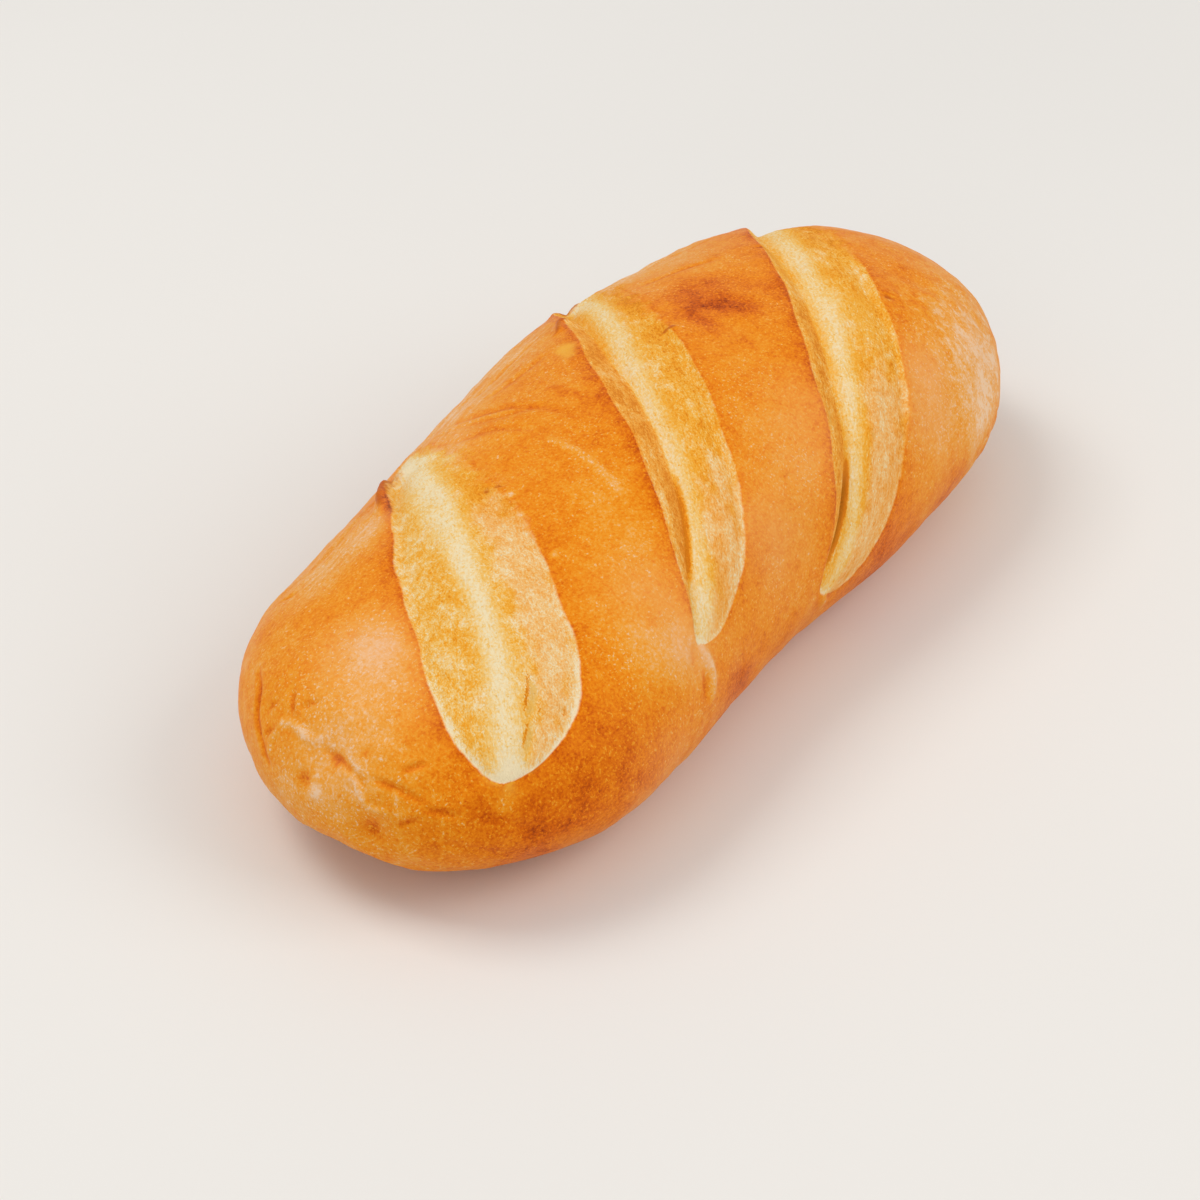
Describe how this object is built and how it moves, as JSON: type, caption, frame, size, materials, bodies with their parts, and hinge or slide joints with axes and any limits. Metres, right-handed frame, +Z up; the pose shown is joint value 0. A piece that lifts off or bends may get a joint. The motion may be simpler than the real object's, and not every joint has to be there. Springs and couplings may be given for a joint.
{
  "type": "bread loaf",
  "caption": "Short fat white bread loaf of the baton kind with rounded ends, a flat underside and diagonal slashes across its golden crust.",
  "frame": {"origin": "middle of the bounding box at the height of the flat underside", "axes": "+X along the loaf towards its far end, +Z up out of the slashed top, -Y towards the flank that the slashes run down to"},
  "size_m": [0.29, 0.125, 0.0745],
  "materials": {
    "crust": "Satin golden-brown bread crust with paler slashes; matte plastic stands in for crust"
  },
  "bodies": {
    "root": {"loaf": "crust"}
  },
  "joints": []
}
